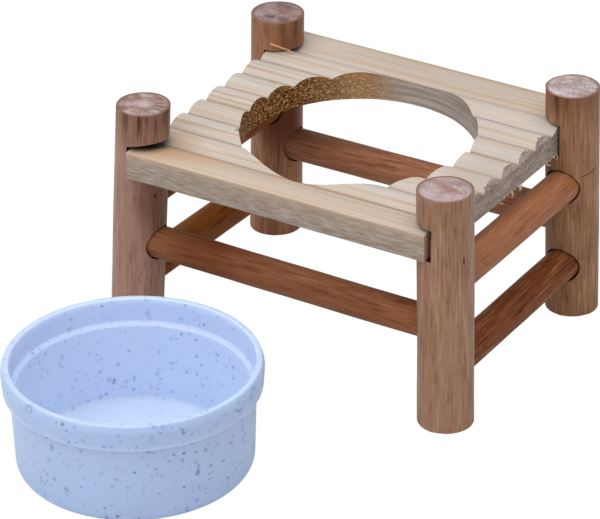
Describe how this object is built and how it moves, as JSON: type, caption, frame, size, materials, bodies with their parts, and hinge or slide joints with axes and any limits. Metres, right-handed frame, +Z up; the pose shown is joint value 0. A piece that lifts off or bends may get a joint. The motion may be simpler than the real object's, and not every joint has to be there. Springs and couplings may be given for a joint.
{
  "type": "pet bowl stand",
  "caption": "Raised feeder for small animals: rustic stand of round peeled branches with a fluted board and a round hole that takes a loose speckled bowl with a stepped rim.",
  "frame": {"origin": "middle of the floor area that the stand and the bowl in front of it cover together, on the floor", "axes": "+X to the right along the board's front edge, +Y from the bowl to the back of the stand, +Z up along the axis of the bowl hole"},
  "size_m": [0.1924, 0.2934, 0.1156],
  "materials": {
    "leg_wood": "peeled branch, dull",
    "rung_wood": "peeled branch, dull",
    "board_wood": "planed softwood, dull",
    "bowl_plastic": "satin moulded, speckled"
  },
  "bodies": {
    "stand": {"front_left_leg": "leg_wood", "front_right_leg": "leg_wood", "back_right_leg": "leg_wood", "back_left_leg": "leg_wood", "front_rung": "rung_wood", "back_rung": "rung_wood", "left_upper_rung": "rung_wood", "left_lower_rung": "rung_wood", "right_upper_rung": "rung_wood", "right_lower_rung": "rung_wood", "top_board": "board_wood"},
    "bowl": {"bowl": "bowl_plastic"}
  },
  "joints": [
    {"name": "bowl_lift", "type": "slide", "parent": "stand", "child": "bowl", "axis": [0, 0, 1], "range_m": [0, 0.15]}
  ]
}
